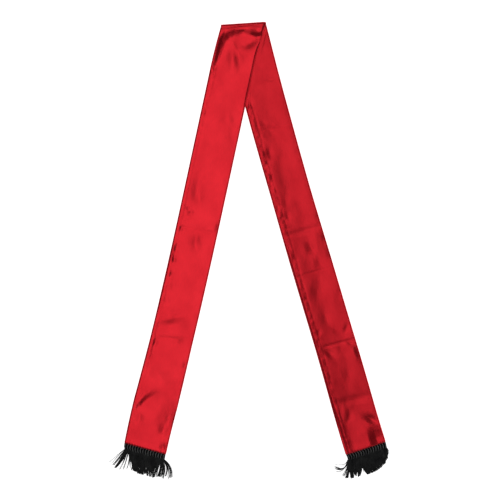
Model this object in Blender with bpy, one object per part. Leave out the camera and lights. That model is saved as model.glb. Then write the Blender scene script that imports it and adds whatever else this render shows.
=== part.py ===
# Neck scarf of red satin with a black fringe, folded once across its middle and laid flat.
# The satin is one long strip, folded lengthwise and sewn into a flat tube. Each leg of the folded
# scarf is a stretch of that tube, with a hollow between its two layers. Sizes are in millimetres.
import math
from collections import namedtuple

import bmesh
import bpy
from mathutils import Vector

MM = 0.001
GAP = 0.3  # between pieces that meet

# The tube of satin
WIDTH = 84.0
WALL = 1.0  # one layer of satin
HOLLOW = 1.0  # between the upper and the lower layer
HALF = WALL + HOLLOW / 2
EDGE = 1.6  # the long edges are rounded over this width
SHOULDER, SHOULDER_HIGH = 0.5, 1.05  # a point of that rounding: in from the edge, above the middle
SEAM = 12.0  # the seam allowance reaches this far in from the left edge
SEAM_RISE = 0.35
CROWN = 1.0  # the upper layer swells this much, rising over CROWN_RUN from each long edge
CROWN_RUN = 30.0
SOFT_RISE = 0.2  # and this much more all over, fading over SOFT_RUN at the long edges
SOFT_RUN = 5.0
HEM_RISE = 0.6  # the hem is thicker, over the tape of the fringe
HEM = 14.0
HEM_RUN = 8.0
ROW_STEP = 12.5  # between two rows of the mesh, and closer near the fold
FOLD_ROW_STEP, FOLD_ROWS_END = 7.0, 40.0
INNER_EVERY = 5  # the plain inside has only every fifth row

# How the legs lie
BED = 3.6  # the upper leg's underside, above the table, where it lies on the lower leg
SLOPE = 26.0  # it comes down to the table over this distance
COVER_MARGIN, COVER_RUN = 2.0, 14.0  # the lower leg stays plain this near the upper one, then swells
FOLD_LEFT = Vector((-54.1, 450.6))  # the ends of the fold as seen from above
FOLD_RIGHT = Vector((32.7, 457.0))
LOOP_OPEN = 2.6  # the right end of the fold stands open by this much more than the left one
LOOP_RUN = 34.0
LOOP_FROM, LOOP_OVER = 0.5, 0.4  # across the leg, where that begins and how soon it is full
AXIS = 4.0  # the turn at the fold goes round a line this far down the legs
AXIS_RUN = 60.0  # the legs are drawn onto that line over this distance
SPLIT = 9.0  # the two stretches meet here, under the fold
TURN_STEPS = 7
FOLD_SKEW_RUN, HEM_SKEW_RUN = 160.0, 90.0  # rows lean with the fold and with the hem this near them
INNER_FINE = 260.0  # the inside of the upper leg follows each row up to here

# The fringe
RIBS = 15  # cords of the heading
COLUMNS = 2 * RIBS
HEADING = 12.0  # depth of the corded heading
LEVELS = (0.0, 1.3, 2.3, 3.3)  # heights that part the heading into three layers; the tape is the middle one
RIB_HIGH = 0.5
TAPE_DEEP = 7.0
TAPE_INSET = 2  # columns left free at each side of the tape
THREAD_WIDE, THREAD_THICK = 1.3, 0.6
THREAD_TAPER = 0.35
THREAD_STEPS = 3
THREAD_INSET = 0.22
ROOT_HIGH = (0.65, 1.8, 2.8)  # the middle of a thread in each layer, at its root and at its tip
TIP_HIGH = (0.6, 1.4, 2.2)
UNEVEN = 2.0  # the threads' ends are uneven by this much, in waves that differ from layer to layer
UNEVEN_WAVE, LAYER_PHASE = 37.0, 2.1
LAYER_SHIFT = 0.3  # of a column, between the ends of two layers

RED = (0.62, 0.012, 0.022)
BLACK = (0.012, 0.012, 0.014)

# A section of a leg: distance from the fold, direction (0 is down the table, plus is to the right), width
Section = namedtuple("Section", "along heading width")
# A crease of the upper layer: its middle, half its length, its lean from straight across, width, depth
Crease = namedtuple("Crease", "along across reach lean width depth")
# Where the threads end: place on the hem (0 left, 1 right), how far along and how far below the hem,
# and how late they lean that way (1 is all the way down)
Tip = namedtuple("Tip", "place along drop late")
Leg = namedtuple("Leg", "length start hem_lean sections creases tips")

UPPER = Leg(
    length=875.0,
    start=Vector((-10.3, 453.8)),
    hem_lean=-15.4,
    sections=(
        Section(0, -17.5, 81.5),
        Section(90, -12.0, 83.6),
        Section(200, -12.2, 84.0),
        Section(350, -12.2, 84.4),
        Section(500, -12.7, 84.4),
        Section(650, -13.6, 85.0),
        Section(780, -14.5, 88.6),
        Section(870, -11.8, 86.2),
    ),
    creases=(
        Crease(8, 32, 30, -12, 7, -0.6),
        Crease(23, 36, 34, -12, 7, 0.9),
        Crease(67, 46, 26, 68, 6, 0.7),
        Crease(353, 17, 38, 90, 7, 0.7),
        Crease(422, 44, 38, -5, 7, 0.9),
        Crease(452, 40, 16, 79, 7, 0.6),
        Crease(592, 32, 12, 77, 8, 0.5),
        Crease(617, 37, 36, -18, 8, 1.0),
        Crease(632, 35, 30, -14, 6, -0.5),
        Crease(647, 34, 25, -9, 6, 0.8),
        Crease(679, 10, 19, 90, 5, 0.6),
        Crease(737, 43, 18, 92, 8, 0.6),
        Crease(780, 18, 12, 112, 6, 0.7),
        Crease(799, 64, 30, 88, 7, 0.7),
        Crease(827, 19, 18, 78, 7, 0.6),
        Crease(830, 40, 25, 78, 8, -0.5),
    ),
    tips=(
        Tip(0.00, -16, 45, 1.2),
        Tip(0.10, -5, 52, 1.2),
        Tip(0.20, 7, 55, 1.2),
        Tip(0.29, 19, 50, 1.2),
        Tip(0.33, 32, 49, 1.2),
        Tip(0.45, 41, 51, 1.0),
        Tip(0.57, 49, 51, 1.0),
        Tip(0.64, 56, 48, 1.0),
        Tip(0.68, 61, 51, 1.0),
        Tip(0.80, 77, 52, 1.0),
        Tip(0.86, 85, 48, 0.9),
        Tip(0.93, 99, 47, 0.8),
        Tip(1.00, 112, 40, 0.7),
    ),
)
LOWER = Leg(
    length=886.0,
    start=Vector((-8.9, 453.8)),
    hem_lean=18.4,
    sections=(
        Section(0, 16.0, 82.4),
        Section(90, 14.4, 81.3),
        Section(200, 15.4, 81.7),
        Section(350, 16.1, 80.7),
        Section(500, 16.6, 82.6),
        Section(650, 16.6, 82.3),
        Section(780, 15.6, 83.5),
        Section(870, 17.2, 83.7),
    ),
    creases=(
        Crease(123, 53, 20, 3, 5, 0.6),
        Crease(218, 43, 30, 0, 9, 1.0),
        Crease(277, 19, 24, 83, 7, 0.8),
        Crease(330, 23, 32, 87, 8, 0.8),
        Crease(375, 22, 22, 94, 7, 0.6),
        Crease(427, 42, 36, 3, 8, 1.0),
        Crease(481, 48, 20, 75, 9, 0.9),
        Crease(515, 37, 22, 1, 7, 0.6),
        Crease(548, 28, 14, 66, 7, 0.7),
        Crease(625, 35, 18, 70, 9, 1.0),
        Crease(642, 16, 22, -15, 9, -0.6),
        Crease(663, 48, 32, 0, 6, 1.1),
        Crease(683, 26, 10, 56, 6, 0.7),
        Crease(680, 62, 14, 16, 8, -0.5),
        Crease(773, 47, 34, 3, 8, 1.0),
        Crease(805, 27, 17, 107, 6, 0.7),
        Crease(827, 62, 14, 50, 8, 0.9),
        Crease(861, 57, 18, 74, 10, 1.1),
        Crease(856, 35, 22, 93, 9, -0.5),
    ),
    tips=(
        Tip(0.00, -30, 20, 2.2),
        Tip(0.06, -25, 27, 2.0),
        Tip(0.12, -21, 36, 1.7),
        Tip(0.18, -19, 42, 1.5),
        Tip(0.26, -12, 44, 1.3),
        Tip(0.36, -2, 47, 1.2),
        Tip(0.46, 14, 48, 1.0),
        Tip(0.50, 29, 49, 1.0),
        Tip(0.64, 39, 50, 1.0),
        Tip(0.78, 48, 49, 1.1),
        Tip(0.90, 59, 45, 1.3),
        Tip(1.00, 70, 35, 1.5),
    ),
)


def smooth(value):
    value = min(max(value, 0.0), 1.0)
    return value * value * (3 - 2 * value)


def read_table(rows, column, at):
    """A column of a table, read between its rows."""
    first = rows[0]
    if at <= first[0]:
        return getattr(first, column)
    for low, high in zip(rows, rows[1:]):
        if at <= high[0]:
            share = (at - low[0]) / (high[0] - low[0])
            return getattr(low, column) * (1 - share) + getattr(high, column) * share
    return getattr(rows[-1], column)


def middle_line(leg, at, step=5.0):
    """The middle of the leg at a distance from the fold, with its direction there in radians."""
    point = leg.start.copy()
    steps = max(1, math.ceil(abs(at) / step))
    for i in range(steps):
        heading = math.radians(read_table(leg.sections, "heading", (i + 0.5) / steps * at))
        point += Vector((math.sin(heading), -math.cos(heading))) * (at / steps)
    return point, math.radians(read_table(leg.sections, "heading", at))


def fold_lean():
    line = FOLD_RIGHT - FOLD_LEFT
    return math.atan2(line.y, line.x)


def loop_lift(across):
    """How far the upper leg stands off at the fold, from its left edge (0) to its right one (1)."""
    return LOOP_OPEN * smooth((across - LOOP_FROM) / LOOP_OVER)


def fold_axis(across):
    """The line that the turn goes round, inside the fold's outline."""
    radius = (BED + loop_lift(across)) / 2 + HALF
    inward = Vector((math.sin(fold_lean()), -math.cos(fold_lean())))
    return FOLD_LEFT.lerp(FOLD_RIGHT, across) + inward * radius


def skew(leg, at):
    """How much a row of the leg leans from straight across: along the fold, then along the hem."""
    at_fold = math.tan(math.radians(leg.sections[0].heading) - fold_lean())
    at_hem = math.tan(math.radians(leg.sections[-1].heading - leg.hem_lean))
    near_fold = 1 - smooth(at / FOLD_SKEW_RUN)
    near_hem = smooth((at - leg.length + HEM + HEM_SKEW_RUN) / HEM_SKEW_RUN)
    return at_fold * near_fold + at_hem * near_hem


def sheet_point(leg, at, across):
    width = read_table(leg.sections, "width", at)
    skewed = at + skew(leg, at) * (across - 0.5) * width
    centre, heading = middle_line(leg, skewed)
    return centre + Vector((math.cos(heading), math.sin(heading))) * (across - 0.5) * width


def plan(leg, at, across):
    """A point of the leg seen from above, drawn onto the fold's axis at the top."""
    point = sheet_point(leg, at, across)
    pull = 1 - smooth((at - AXIS) / AXIS_RUN)
    if pull > 0:
        point += (fold_axis(across) - sheet_point(leg, AXIS, across)) * pull
    return point


def beyond(point, start, end):
    """Distance of a point from the line through two others, plus on its left seen from above."""
    line = (end - start).normalized()
    return line.x * (point.y - start.y) - line.y * (point.x - start.x)


LOWER_LEFT_EDGE = (plan(LOWER, 180, 0), plan(LOWER, AXIS, 0))
UPPER_RIGHT_EDGE = (plan(UPPER, 180, 1), plan(UPPER, AXIS, 1))


def bed(point):
    """Height of what the upper leg lies on: the lower leg, then down to the table beside it."""
    return BED * (1 - smooth((beyond(point, *LOWER_LEFT_EDGE) - 1) / SLOPE))


def crease_depth(crease, at, from_left):
    """Depth of one crease at a point, soft across it and fading towards its two ends."""
    lean = math.radians(crease.lean)
    down, right = at - crease.along, from_left - crease.across
    run = right * math.cos(lean) + down * math.sin(lean)
    off = down * math.cos(lean) - right * math.sin(lean)
    fade = 1 - smooth((abs(run) / crease.reach - 0.5) / 0.7)
    return crease.depth * fade * math.exp(-((off / crease.width) ** 2))


def relief(leg, at, across, point):
    """How far the upper layer rises over its plain height, never less than nothing."""
    from_left = across * WIDTH
    from_edge = min(from_left, WIDTH - from_left)
    rise = SOFT_RISE + CROWN * smooth(from_edge / CROWN_RUN) * smooth((at - AXIS) / CROWN_RUN)
    rise += SEAM_RISE * smooth((SEAM + 2 - from_left) / 3)
    rise -= sum(crease_depth(crease, at, from_left) for crease in leg.creases)
    if leg is LOWER:
        rise *= smooth((-beyond(point, *UPPER_RIGHT_EDGE) - COVER_MARGIN) / COVER_RUN)
    return max(rise, 0.0) * smooth(from_edge / SOFT_RUN)


# Round the tube: the left edge, over the top, the right edge, and back underneath.
# Each point has its distance from the left edge and its height from the middle of the tube.
TOP_ACROSS = (EDGE, 6, SEAM - 1, SEAM + 2, 24, 33, 42, 51, 61, 71, WIDTH - EDGE)
UNDER_ACROSS = (WIDTH - EDGE, 62, 42, 22, EDGE)
OUTSIDE = (
    [(0, 0), (SHOULDER, SHOULDER_HIGH)]
    + [(across, HALF) for across in TOP_ACROSS]
    + [(WIDTH - SHOULDER, SHOULDER_HIGH), (WIDTH, 0), (WIDTH - SHOULDER, -SHOULDER_HIGH)]
    + [(across, -HALF) for across in UNDER_ACROSS]
    + [(SHOULDER, -SHOULDER_HIGH)]
)


def one_layer_in(across, high):
    """A point of the ring, moved in by one layer of satin."""
    inset = {0: 1.4, SHOULDER_HIGH: 1.6, HALF: 2.1}[abs(high)] * WALL
    level = {0: 0, SHOULDER_HIGH: 0.3, HALF: HOLLOW / 2}[abs(high)]
    return min(max(across, inset), WIDTH - inset), math.copysign(level, high)


INSIDE = [one_layer_in(across, high) for across, high in OUTSIDE]


def under_place(at, across, high):
    """The short piece under the fold, where the tube still lies face down on the table."""
    return plan(LOWER, at, across).to_3d() + Vector((0, 0, HALF - high))


def turn_place(angle, across, high):
    """Half a turn round the fold's axis."""
    radius = (BED + loop_lift(across)) / 2
    outward = Vector((-math.sin(fold_lean()), math.cos(fold_lean())))
    point = fold_axis(across) + outward * (radius + high) * math.cos(angle)
    return point.to_3d() + Vector((0, 0, HALF + radius + (radius + high) * math.sin(angle)))


def over_place(leg, at, across, high):
    """A leg as it lies, with its creases in the upper layer and its hem."""
    point = plan(leg, at, across)
    base = HALF
    if leg is UPPER:
        base += bed(point) + loop_lift(across) * (1 - smooth((at - AXIS) / LOOP_RUN))
    if high >= HALF:
        base += relief(leg, at, across, point)
    if high > 0:
        base += HEM_RISE * smooth((at - leg.length + HEM) / HEM_RUN)
    return point.to_3d() + Vector((0, 0, base + high))


def leg_rows(leg, first):
    """Distances of the rows of a leg: closer by the fold and at the hem."""
    rows = [first]
    while rows[-1] < leg.length - HEM - FOLD_ROW_STEP:
        rows.append(rows[-1] + (FOLD_ROW_STEP if rows[-1] < FOLD_ROWS_END else ROW_STEP))
    return rows + [leg.length - HEM / 2, leg.length]


def wrap(bm, sections):
    """A grid with a row for each section, rolled round the ring and closed from its last row to its first."""
    around, count = len(OUTSIDE), len(sections)
    grid = bmesh.ops.create_grid(bm, x_segments=around, y_segments=count, size=1)
    for vert in grid["verts"]:
        step = round((vert.co.x + 1) / 2 * around) % around
        ring, (place, at) = sections[round((vert.co.y + 1) / 2 * count) % count]
        across, high = ring[step]
        vert.co = place(at, across / WIDTH, high) * MM
    bmesh.ops.remove_doubles(bm, verts=grid["verts"], dist=1e-7)


def finish_mesh(bm, name, colour, roughness):
    bmesh.ops.recalc_face_normals(bm, faces=bm.faces)
    mesh = bpy.data.meshes.new(name)
    bm.to_mesh(mesh)
    bm.free()
    mesh.shade_smooth()
    mesh.set_sharp_from_angle(angle=math.radians(50))
    material = bpy.data.materials.new(name)
    material.use_nodes = True
    shader = material.node_tree.nodes["Principled BSDF"]
    shader.inputs["Base Color"].default_value = (*colour, 1)
    shader.inputs["Roughness"].default_value = roughness
    shader.inputs["Metallic"].default_value = 0.0
    mesh.materials.append(material)
    part = bpy.data.objects.new(name, mesh)
    bpy.context.collection.objects.link(part)
    return part


def tube(name, rows, inner_rows):
    """A stretch of the flat tube: down its outside, round the open end and back up its inside."""
    bm = bmesh.new()
    wrap(bm, [(OUTSIDE, row) for row in rows] + [(INSIDE, row) for row in reversed(inner_rows)])
    return finish_mesh(bm, name, RED, 0.35)


def thin_out(rows, fine_until):
    """The same rows, but only every few of them once past a distance: the inside is plain."""
    near = [row for row in rows[:-2] if row[1] <= fine_until]
    far = rows[len(near):-2]
    return near + far[::INNER_EVERY] + rows[-2:]


def lower_leg():
    place = lambda *spot: over_place(LOWER, *spot)
    rows = [(place, at) for at in leg_rows(LOWER, SPLIT)]
    return tube("lower_leg", rows, thin_out(rows, SPLIT))


def upper_leg():
    place = lambda *spot: over_place(UPPER, *spot)
    turn = [(turn_place, math.pi * (step / TURN_STEPS - 0.5)) for step in range(TURN_STEPS + 1)]
    start = [(under_place, SPLIT - GAP)] + turn
    over = [(place, at) for at in leg_rows(UPPER, AXIS + FOLD_ROW_STEP / 2)]
    return tube("upper_leg", start + over, start + thin_out(over, INNER_FINE))


def thread_path(leg, width, place, layer, share):
    """A point of a thread's middle: distance along the hem, distance below it, and height."""
    tip = place + (layer - 1) * LAYER_SHIFT / COLUMNS
    along = read_table(leg.tips, "along", tip) - place * width
    wave = abs(math.sin(UNEVEN_WAVE * place + LAYER_PHASE * layer))
    drop = read_table(leg.tips, "drop", tip) - UNEVEN * wave
    late = read_table(leg.tips, "late", tip)
    return Vector((
        place * width + along * share**late,
        HEADING + (drop - HEADING) * share,
        ROOT_HIGH[layer] + (TIP_HIGH[layer] - ROOT_HIGH[layer]) * share,
    ))


def grow(bm, faces):
    """Extrudes each face by itself and gives the new faces under the same keys."""
    middles = {key: face.calc_center_median() for key, face in faces.items()}
    fresh = bmesh.ops.extrude_discrete_faces(bm, faces=list(faces.values()))["faces"]
    return {
        key: min(fresh, key=lambda face: (face.calc_center_median() - middle).length_squared)
        for key, middle in middles.items()
    }


def grid_spot(co):
    """Column and level of a point of the heading's grid, which runs from -1 to 1 both ways."""
    return round((co.x + 1) / 2 * COLUMNS, 1), round((co.y + 1) / 2 * (len(LEVELS) - 1), 1)


def fringe(name, leg):
    """The corded heading with its tape inside the hem, and the threads that hang from it."""
    corner = plan(leg, leg.length, 0)
    hem = plan(leg, leg.length, 1) - corner
    width = hem.length
    right = hem.normalized()
    down = Vector((right.y, -right.x))

    def place(along, drop, high):
        return (corner + right * along + down * drop).to_3d() * MM + Vector((0, 0, high * MM))

    # A grid stands where the threads begin, and its copy against the hem closes the heading.
    bm = bmesh.new()
    bmesh.ops.create_grid(bm, x_segments=COLUMNS, y_segments=len(LEVELS) - 1, size=1)
    roots = {grid_spot(face.calc_center_median()): face for face in bm.faces}
    back = bmesh.ops.extrude_face_region(bm, geom=list(bm.faces), use_keep_orig=True)["geom"]
    back_verts = {item for item in back if isinstance(item, bmesh.types.BMVert)}
    tape = []
    for item in back:
        if isinstance(item, bmesh.types.BMFace):
            column, level = grid_spot(item.calc_center_median())
            if int(level) == 1 and TAPE_INSET <= column <= COLUMNS - TAPE_INSET:
                tape.append(item)
    for vert in bm.verts:
        column, level = grid_spot(vert.co)
        groove = RIB_HIGH if level == len(LEVELS) - 1 and column % 2 == 0 else 0
        drop = GAP if vert in back_verts else HEADING
        vert.co = place(column / COLUMNS * width, drop, LEVELS[int(level)] - groove)

    tongue = bmesh.ops.extrude_face_region(bm, geom=tape)["geom"]
    bmesh.ops.delete(bm, geom=tape, context="FACES")
    for item in tongue:
        if isinstance(item, bmesh.types.BMVert):
            item.co -= down.to_3d() * (TAPE_DEEP + GAP) * MM

    ends = {(int(column), int(level)): face for (column, level), face in roots.items()}
    inset = THREAD_INSET * MM
    bmesh.ops.inset_individual(bm, faces=list(ends.values()), thickness=inset, use_even_offset=True)
    sides = {key: right for key in ends}
    for step in range(1, THREAD_STEPS + 1):
        share = step / THREAD_STEPS
        thin = (1 - THREAD_TAPER * share) / 2
        ends = grow(bm, ends)
        for key, face in ends.items():
            column, layer = key
            here = thread_path(leg, width, (column + 0.5) / COLUMNS, layer, share)
            before = thread_path(leg, width, (column + 0.5) / COLUMNS, layer, share - 0.1)
            run = (right * (here.x - before.x) + down * (here.y - before.y)).normalized()
            side = Vector((-run.y, run.x))
            middle = face.calc_center_median()
            for vert in face.verts:
                rightward = math.copysign(thin, (vert.co - middle).xy.dot(sides[key]))
                upward = math.copysign(thin, vert.co.z - middle.z)
                vert.co = place(here.x, here.y, here.z + upward * THREAD_THICK)
                vert.co += (side * rightward * THREAD_WIDE * MM).to_3d()
            sides[key] = side
    return finish_mesh(bm, name, BLACK, 0.7)


def main():
    for item in list(bpy.data.objects):
        bpy.data.objects.remove(item, do_unlink=True)
    parts = [lower_leg(), upper_leg(), fringe("fringe_left", UPPER), fringe("fringe_right", LOWER)]
    points = [vert.co for part in parts for vert in part.data.vertices]
    low = Vector(min(point[axis] for point in points) for axis in range(3))
    high = Vector(max(point[axis] for point in points) for axis in range(3))
    # The origin is at the middle of the scarf, on the table.
    scarf = bpy.data.objects.new("scarf", None)
    bpy.context.collection.objects.link(scarf)
    scarf.location = (-(low.x + high.x) / 2, -(low.y + high.y) / 2, -low.z)
    for part in parts:
        part.parent = scarf
    bpy.context.view_layer.update()
    print("size in mm:", [round(value / MM, 1) for value in high - low])
    print("moved by, in mm:", [round(value / MM, 2) for value in scarf.location])


main()
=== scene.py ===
import math
import random
from collections import namedtuple

import bmesh
import bpy
import numpy as np
from mathutils import Matrix, Vector, noise
from mathutils.bvhtree import BVHTree


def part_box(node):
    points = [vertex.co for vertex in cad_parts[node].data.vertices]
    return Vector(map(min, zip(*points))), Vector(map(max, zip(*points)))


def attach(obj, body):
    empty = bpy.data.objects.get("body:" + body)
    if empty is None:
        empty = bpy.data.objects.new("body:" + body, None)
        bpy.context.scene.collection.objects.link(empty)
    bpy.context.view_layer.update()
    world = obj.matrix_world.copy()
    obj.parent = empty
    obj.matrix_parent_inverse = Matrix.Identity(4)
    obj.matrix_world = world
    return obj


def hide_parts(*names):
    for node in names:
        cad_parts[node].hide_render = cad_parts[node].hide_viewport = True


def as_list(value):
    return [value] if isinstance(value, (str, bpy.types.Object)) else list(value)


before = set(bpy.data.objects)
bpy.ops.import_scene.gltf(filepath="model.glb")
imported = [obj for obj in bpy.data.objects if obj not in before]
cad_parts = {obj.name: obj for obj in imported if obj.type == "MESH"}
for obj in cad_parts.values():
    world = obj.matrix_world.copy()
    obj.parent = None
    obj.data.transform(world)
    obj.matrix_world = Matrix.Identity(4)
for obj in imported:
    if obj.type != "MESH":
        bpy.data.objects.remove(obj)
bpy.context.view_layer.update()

mm = 0.001

# The scarf lies on a table and is seen from above, with its fold at the top. Its own sizes are in mm.
# Along a leg, places are measured from the fold, and across it from its left edge.

Section = namedtuple("Section", "along heading width")  # heading 0 is straight down, plus is to the right
# A crease of the upper layer: the middle of the side that falls away to the right, half its length, its
# lean from straight across, its width and depth, how far its ends bend down the leg, and the ridge before
# it as a share of the depth.
Crease = namedtuple("Crease", "along across reach lean width depth bow lip", defaults=(0, 0))
Pucker = namedtuple("Pucker", "start end across high")  # a stretch where the sewn edge is gathered
# A point of a curved line. The cloth falls on the right of one who follows the line up the leg, and rises
# again over so many mm as the line's first point says.
Wall = namedtuple("Wall", "along across width fall recover", defaults=(20.0,))
Roll = namedtuple("Roll", "along left right")  # how wide the rounding of the two long edges is
Seam = namedtuple("Seam", "along across deep")  # the seam line under the left edge, and how it shows

tube = {
    "width": 84.0,  # of the flat tube
    "half": 1.5,  # from its middle to its outside
    "lineRoom": 60,  # the middle line of a leg runs on this far past both ends
    "cloth": 0.35,  # thickness of the satin
    "soft": 0.5,  # the upper layer lies this much over its plain height
    "softRun": 2.5,  # from its long edges
    "lowest": -2.5,  # it never lies lower than this
    "lowestSharp": 2.5,
    "hem": 16.0,
    "hemRise": 0.4,  # the hem lies over the tape of the fringe
    "hemRun": 14.0,
    "turned": (0.25, 0.9, 2.2, 5.0, 9.0),  # how far inside each row of the turned-in hem is
    "turnedLip": 0.4,
    "turnedFlat": (0.55, 1.2, 0.1),  # flatter by this share, over so much, and by the last share at once
    "turnedNarrow": 0.02,
    "gathers": 16,  # of the hem, one over each cord of the fringe
    "gather": (1.3, 0.35, 5.0),  # how far one draws the hem in, how high it stands, and over which length
    "rowStep": 2.2,
    "topColumns": 72,
    "crowded": 0.05,  # the columns stand closer near the long edges
    "underColumns": 9,
    "edgeSteps": 4,
}

fold = {
    "left": (-56.0, 451.6),
    "right": (34.4, 457.6),
    "bed": 3.6,  # the upper leg lies this far above the table where the lower leg is under it
    "slope": 80.0,
    "slopeFrom": 1.0,
    "open": 2.6,  # the right end of the fold stands open by this much more
    "puffed": 1.2,  # and the left end by this much
    "openRun": 34.0,
    "openFrom": 0.5,  # these four are shares of its width
    "openOver": 0.4,
    "puffedTo": 0.5,
    "puffedOver": 0.35,
    "axis": 4.0,  # the turn goes round a line this far down the legs
    "axisRun": 60.0,
    "overFrom": 2.0,  # the rows of the leg itself begin this far below the line
    "axisSoft": 10.0,
    "crossing": 180.0,  # the legs lie on each other down to about here
    "split": 9.0,  # the lower leg begins here
    "tuck": (0.1, 1.5, 3.0),  # and the piece under the fold has its rows this far above that
    "skewRun": 160.0,
    "hemSkewRun": 90.0,
    "coverMargin": 2.0,
    "coverRun": 14.0,
    "coverRoom": (0.45, 3.0),  # the lower leg may rise so far under the upper one, and so much more beside
    "turnSteps": 16,
}

upperLeg = {
    "length": 872.5,
    "sag": (0.25, 0.5),  # of the middle, below the left and the right side
    "seamRise": 0.12,  # the seam allowance inside lifts the strip along the left edge
    "uneven": 0.5,
    "creased": 1.0,  # how deep its creases are, times their own depths
    "start": (-10.5, 453.8),
    "hemLean": -15.4,
    "sections": [
        Section(0, -17.5, 82.5),
        Section(90, -12.0, 84.5),
        Section(200, -12.2, 84.8),
        Section(350, -12.2, 84.8),
        Section(500, -12.7, 84.8),
        Section(650, -13.6, 85.3),
        Section(780, -14.5, 88.8),
        Section(870, -11.8, 86.5),
    ],
    "rolls": [
        Roll(0, 1.8, 6),
        Roll(30, 1.8, 3.8),
        Roll(150, 1.8, 3.6),
        Roll(175, 1.8, 1.8),
        Roll(440, 1.8, 1.6),
        Roll(475, 3.6, 1.6),
        Roll(590, 2.8, 1.6),
        Roll(640, 1.6, 1.6),
        Roll(870, 1.6, 1.6),
    ],
    "seam": [
        Seam(0, 9, 0.05),
        Seam(80, 9, 0.25),
        Seam(135, 8.5, 0.1),
        Seam(450, 9, 0.05),
        Seam(640, 9, 0.12),
        Seam(705, 9.5, 0.08),
        Seam(870, 10, 0.05),
    ],
    "puckers": [
        Pucker(84, 134, 7, 0.35),
        Pucker(165, 200, 7, 0.35),
        Pucker(222, 244, 6, 0.5),
        Pucker(372, 400, 12, 0.25),
        Pucker(450, 496, 5, 0.4),
        Pucker(510, 580, 9, 0.3),
        Pucker(646, 706, 8, 0.35),
    ],
    "creases": [
        Crease(70, 46, 30, 69, 5.5, 1.1, 0, 0.3),
        Crease(150, 28, 14, 85, 8, 0.3),
        Crease(193, 34, 14, -45, 7, 0.35),
        Crease(196, 56, 8, 60, 5, 0.3),
        Crease(218, 74, 12, 80, 6, 0.4),
        Crease(270, 18, 34, 90, 8, 0.4),
        Crease(340, 17, 28, 92, 8, 1.0),
        Crease(362, 26, 16, 82, 9, 0.8),
        Crease(384, 13, 4, 90, 3, 0.6),
        Crease(392, 19, 7, 75, 5, 0.8),
        Crease(427, 9, 6, 90, 2.5, 0.55),
        Crease(423, 16, 12, 0, 2.4, 0.5, 0, 0.3),
        Crease(422, 50, 34, -1, 2.2, 0.3, 0, 0.3),
        Crease(422, 67, 8, 0, 3, 0.5),
        Crease(452, 38, 19, 72, 8.5, 1.1),
        Crease(437, 42, 8, 110, 5, 0.4),
        Crease(474, 4.5, 20, 90, 4, 0.8),
        Crease(492, 9, 5, 90, 3, 0.5),
        Crease(519, 11, 10, 90, 5, 0.6),
        Crease(544, 17, 8, 85, 5, 0.5),
        Crease(571, 12, 11, 92, 4, 0.5),
        Crease(595, 33, 14, 90, 7, 0.6),
        Crease(408, 79, 14, 90, 3.5, 0.7),
        Crease(614, 34, 34, -23, 6, 1.1, 0, 0.6),
        Crease(646, 34, 30, -11, 4.5, 1.0),
        Crease(644, 51, 10, -20, 6, 0.5),
        Crease(661, 10, 7, 88, 3.5, 0.5),
        Crease(682, 8.5, 26, 90, 3, 0.35),
        Crease(692, 77, 11, 88, 4, 0.7),
        Crease(731, 30, 24, 38, 8, 0.8),
        Crease(797, 6, 7, 47, 3, 0.4),
        Crease(816, 14, 14, 85, 4, 0.55),
        Crease(828, 64, 13, 86, 6, 0.8),
        Crease(800, 62, 46, 88, 13, 2.2),
        Crease(805, 72, 18, 90, 5, 0.4),
        Crease(863, 72, 9, 80, 5, 0.9),
    ],
    "walls": [
        [
            Wall(108, 4, 5, 0, 27.0),
            Wall(84, 7, 7, 2.2),
            Wall(62, 8.5, 9, 3.9),
            Wall(44, 10.5, 9, 4.0),
            Wall(32, 18, 8, 3.8),
            Wall(23, 30, 7.5, 3.6),
            Wall(15, 44, 5.5, 4.2),
            Wall(8, 58, 5.5, 2.2),
            Wall(3, 70, 6, 0),
        ],
        [
            Wall(40, 30, 6, 0, 18.0),
            Wall(30, 42, 6, 2.0),
            Wall(23, 52, 5.5, 3.2),
            Wall(17, 64, 5.5, 3.2),
            Wall(12, 78, 5.5, 2.8),
            Wall(7, 90, 5, 1.0),
        ],
        [
            Wall(800, 7, 3, 0),
            Wall(785, 13, 4, 1.4),
            Wall(772, 20, 5, 1.5),
            Wall(760, 32, 7, 1.1),
            Wall(744, 48, 8, 0),
        ],
    ],
}

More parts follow.
